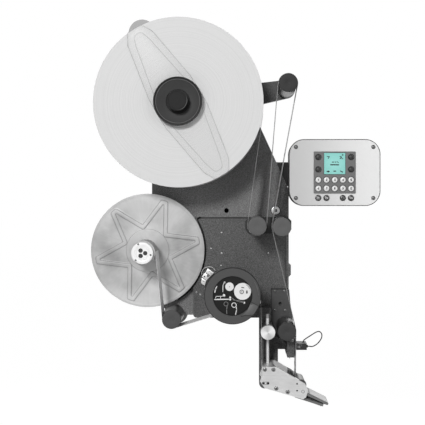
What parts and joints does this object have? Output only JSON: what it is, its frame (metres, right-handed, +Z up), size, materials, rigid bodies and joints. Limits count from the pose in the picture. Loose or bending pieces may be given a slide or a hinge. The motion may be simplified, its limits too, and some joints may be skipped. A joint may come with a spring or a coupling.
{
  "type": "labeling machine",
  "caption": "Label dispensing head: supply roll on a hub, sprung dancer, guide rollers, drive with guard, liner rewind reel, adjustable peel beak, label sensor and key panel on a plate.",
  "frame": {"origin": "centre of the rear mount pad's bolt pattern, on its back face", "axes": "+Z up, +X to the operator's right, +Y back towards the stand that carries the machine"},
  "size_m": [0.5265, 0.269, 0.6921],
  "materials": {
    "frame_paint": "textured dark grey powder coat",
    "housing_paint": "textured dark grey powder coat",
    "black_paint": "satin black",
    "bright_steel": "turned and polished",
    "aluminium": "fine milled, clear anodised",
    "roller_metal": "dark anodised tube with a dark end cap",
    "black_plastic": "satin moulded",
    "sensor_plastic": "satin moulded",
    "cable_jacket": "smooth jacket",
    "panel_light": "light grey face with a mid grey bezel",
    "display_glass": "lit pale cyan window",
    "motor_paint": "satin black",
    "paper": "coated label paper",
    "hub_plastic": "satin moulded",
    "clear_plastic": "clear moulded",
    "reel_plastic": "translucent grey moulding",
    "white_plastic": "white moulded",
    "drive_rubber": "ground rubber",
    "silver_key": "silver domed key",
    "dark_key": "dark domed key"
  },
  "bodies": {
    "root": {"main_plate": "frame_paint", "front_cover": "frame_paint", "rear_housing": "housing_paint", "screws": "bright_steel", "fixed_axles": "bright_steel", "roller_brackets": "black_paint", "drive_guard": "black_plastic", "latch_clip": "bright_steel", "dispensing_beam": "frame_paint", "label_sensor": "sensor_plastic", "sensor_cable": "cable_jacket", "panel_shell": "black_paint", "panel_face": "panel_light", "display_window": "display_glass", "drive_motor": "motor_paint", "fixed_web": "paper", "loop_web": "paper", "beak_web": "paper"},
    "supply": {"label_roll": "paper", "supply_hub": "hub_plastic", "front_wing": "clear_plastic", "hub_dish": "black_plastic"},
    "dancer": {"dancer_arm": "frame_paint"},
    "dancer_roller": {"dancer_roller": "roller_metal"},
    "left_guide": {"left_guide_roller": "roller_metal"},
    "right_guide": {"right_guide_roller": "roller_metal"},
    "infeed": {"infeed_roller": "roller_metal"},
    "lower_guide": {"lower_guide_roller": "roller_metal"},
    "rewind": {"rewind_flange": "reel_plastic", "rewind_hub": "black_plastic", "rewind_cap": "white_plastic", "waste_wrap": "paper"},
    "drive": {"drive_roller": "drive_rubber"},
    "pressure_lever": {"pressure_lever": "black_paint"},
    "pressure_roller": {"pressure_roller": "drive_rubber"},
    "beak": {"beak_front_plate": "aluminium", "beak_rear_plate": "aluminium", "peel_bar": "bright_steel", "liner_guide": "black_plastic", "adjusting_rod": "bright_steel"},
    "beak_roller": {"beak_roller": "roller_metal"},
    "clamp_knob": {"clamp_knob": "aluminium"},
    "number_key_0": {"number_key_0": "silver_key"},
    "number_key_1": {"number_key_1": "silver_key"},
    "number_key_2": {"number_key_2": "silver_key"},
    "number_key_3": {"number_key_3": "silver_key"},
    "number_key_4": {"number_key_4": "silver_key"},
    "number_key_5": {"number_key_5": "silver_key"},
    "number_key_6": {"number_key_6": "silver_key"},
    "number_key_7": {"number_key_7": "silver_key"},
    "number_key_8": {"number_key_8": "silver_key"},
    "number_key_9": {"number_key_9": "silver_key"},
    "soft_key_1": {"soft_key_1": "dark_key"},
    "soft_key_2": {"soft_key_2": "dark_key"},
    "soft_key_3": {"soft_key_3": "dark_key"},
    "soft_key_4": {"soft_key_4": "dark_key"},
    "function_key_1": {"function_key_1": "dark_key"},
    "function_key_2": {"function_key_2": "dark_key"},
    "function_key_3": {"function_key_3": "dark_key"},
    "function_key_4": {"function_key_4": "dark_key"}
  },
  "joints": [
    {"name": "supply_spin", "type": "hinge", "parent": "root", "child": "supply", "pos_m": [-0.089, 0, 0.204], "axis": [0, -1, 0], "continuous": true},
    {"name": "dancer_swing", "type": "hinge", "parent": "root", "child": "dancer", "pos_m": [-0.089, 0, 0.204], "axis": [0, -1, 0], "range_deg": [-18, 12], "stiffness_Nm_per_rad": 8, "springref_deg": 9.17, "deforming": ["loop_web"]},
    {"name": "beak_slide", "type": "slide", "parent": "root", "child": "beak", "axis": [0, 0, 1], "range_m": [-0.015, 0.01], "deforming": ["beak_web"]},
    {"name": "clamp_knob_turn", "type": "hinge", "parent": "root", "child": "clamp_knob", "pos_m": [0.0685, 0, -0.1998], "axis": [0, -1, 0], "range_deg": [0, 180]},
    {"name": "pressure_lever_swing", "type": "hinge", "parent": "root", "child": "pressure_lever", "pos_m": [0.05, 0, -0.147], "axis": [0, -1, 0], "range_deg": [0, 15], "stiffness_Nm_per_rad": 1.5, "springref_deg": -17.19},
    {"name": "rewind_spin", "type": "hinge", "parent": "root", "child": "rewind", "pos_m": [-0.152, 0, -0.0615], "axis": [0, -1, 0], "continuous": true},
    {"name": "drive_spin", "type": "hinge", "parent": "root", "child": "drive", "pos_m": [0.0065, 0, -0.1364], "axis": [0, -1, 0], "continuous": true},
    {"name": "dancer_roller_spin", "type": "hinge", "parent": "dancer", "child": "dancer_roller", "pos_m": [0.10438, 0, 0.23775], "axis": [0, -1, 0], "continuous": true},
    {"name": "left_guide_spin", "type": "hinge", "parent": "root", "child": "left_guide", "pos_m": [0.0496, 0, -0.0139], "axis": [0, -1, 0], "continuous": true},
    {"name": "right_guide_spin", "type": "hinge", "parent": "root", "child": "right_guide", "pos_m": [0.093, 0, -0.0155], "axis": [0, -1, 0], "continuous": true},
    {"name": "infeed_spin", "type": "hinge", "parent": "root", "child": "infeed", "pos_m": [0.102, 0, -0.199], "axis": [0, -1, 0], "continuous": true},
    {"name": "lower_guide_spin", "type": "hinge", "parent": "root", "child": "lower_guide", "pos_m": [-0.1007, 0, -0.1777], "axis": [0, -1, 0], "continuous": true},
    {"name": "beak_roller_spin", "type": "hinge", "parent": "beak", "child": "beak_roller", "pos_m": [0.126, 0, -0.292], "axis": [0, -1, 0], "continuous": true},
    {"name": "pressure_roller_spin", "type": "hinge", "parent": "pressure_lever", "child": "pressure_roller", "pos_m": [0.02098, 0, -0.16849], "axis": [0, -1, 0], "continuous": true},
    {"name": "soft_key_1_press", "type": "slide", "parent": "root", "child": "soft_key_1", "axis": [0, 1, 0], "range_m": [0, 0.001], "stiffness_N_per_m": 600, "springref_m": -0.001},
    {"name": "soft_key_2_press", "type": "slide", "parent": "root", "child": "soft_key_2", "axis": [0, 1, 0], "range_m": [0, 0.001], "stiffness_N_per_m": 600, "springref_m": -0.001},
    {"name": "soft_key_3_press", "type": "slide", "parent": "root", "child": "soft_key_3", "axis": [0, 1, 0], "range_m": [0, 0.001], "stiffness_N_per_m": 600, "springref_m": -0.001},
    {"name": "soft_key_4_press", "type": "slide", "parent": "root", "child": "soft_key_4", "axis": [0, 1, 0], "range_m": [0, 0.001], "stiffness_N_per_m": 600, "springref_m": -0.001},
    {"name": "function_key_1_press", "type": "slide", "parent": "root", "child": "function_key_1", "axis": [0, 1, 0], "range_m": [0, 0.001], "stiffness_N_per_m": 600, "springref_m": -0.001},
    {"name": "function_key_2_press", "type": "slide", "parent": "root", "child": "function_key_2", "axis": [0, 1, 0], "range_m": [0, 0.001], "stiffness_N_per_m": 600, "springref_m": -0.001},
    {"name": "function_key_3_press", "type": "slide", "parent": "root", "child": "function_key_3", "axis": [0, 1, 0], "range_m": [0, 0.001], "stiffness_N_per_m": 600, "springref_m": -0.001},
    {"name": "function_key_4_press", "type": "slide", "parent": "root", "child": "function_key_4", "axis": [0, 1, 0], "range_m": [0, 0.001], "stiffness_N_per_m": 600, "springref_m": -0.001},
    {"name": "number_key_0_press", "type": "slide", "parent": "root", "child": "number_key_0", "axis": [0, 1, 0], "range_m": [0, 0.001], "stiffness_N_per_m": 600, "springref_m": -0.001},
    {"name": "number_key_1_press", "type": "slide", "parent": "root", "child": "number_key_1", "axis": [0, 1, 0], "range_m": [0, 0.001], "stiffness_N_per_m": 600, "springref_m": -0.001},
    {"name": "number_key_2_press", "type": "slide", "parent": "root", "child": "number_key_2", "axis": [0, 1, 0], "range_m": [0, 0.001], "stiffness_N_per_m": 600, "springref_m": -0.001},
    {"name": "number_key_3_press", "type": "slide", "parent": "root", "child": "number_key_3", "axis": [0, 1, 0], "range_m": [0, 0.001], "stiffness_N_per_m": 600, "springref_m": -0.001},
    {"name": "number_key_4_press", "type": "slide", "parent": "root", "child": "number_key_4", "axis": [0, 1, 0], "range_m": [0, 0.001], "stiffness_N_per_m": 600, "springref_m": -0.001},
    {"name": "number_key_5_press", "type": "slide", "parent": "root", "child": "number_key_5", "axis": [0, 1, 0], "range_m": [0, 0.001], "stiffness_N_per_m": 600, "springref_m": -0.001},
    {"name": "number_key_6_press", "type": "slide", "parent": "root", "child": "number_key_6", "axis": [0, 1, 0], "range_m": [0, 0.001], "stiffness_N_per_m": 600, "springref_m": -0.001},
    {"name": "number_key_7_press", "type": "slide", "parent": "root", "child": "number_key_7", "axis": [0, 1, 0], "range_m": [0, 0.001], "stiffness_N_per_m": 600, "springref_m": -0.001},
    {"name": "number_key_8_press", "type": "slide", "parent": "root", "child": "number_key_8", "axis": [0, 1, 0], "range_m": [0, 0.001], "stiffness_N_per_m": 600, "springref_m": -0.001},
    {"name": "number_key_9_press", "type": "slide", "parent": "root", "child": "number_key_9", "axis": [0, 1, 0], "range_m": [0, 0.001], "stiffness_N_per_m": 600, "springref_m": -0.001}
  ],
  "couplings": [
    {"joint": "left_guide_spin", "follows": "supply_spin", "ratio": -9.0909},
    {"joint": "dancer_roller_spin", "follows": "supply_spin", "ratio": 9.0909},
    {"joint": "right_guide_spin", "follows": "supply_spin", "ratio": -9.0909},
    {"joint": "infeed_spin", "follows": "supply_spin", "ratio": 9.375},
    {"joint": "beak_roller_spin", "follows": "supply_spin", "ratio": -18.75},
    {"joint": "drive_spin", "follows": "supply_spin", "ratio": 6},
    {"joint": "pressure_roller_spin", "follows": "supply_spin", "ratio": -16.667},
    {"joint": "lower_guide_spin", "follows": "supply_spin", "ratio": 9.0909},
    {"joint": "rewind_spin", "follows": "supply_spin", "ratio": -6.8182}
  ]
}
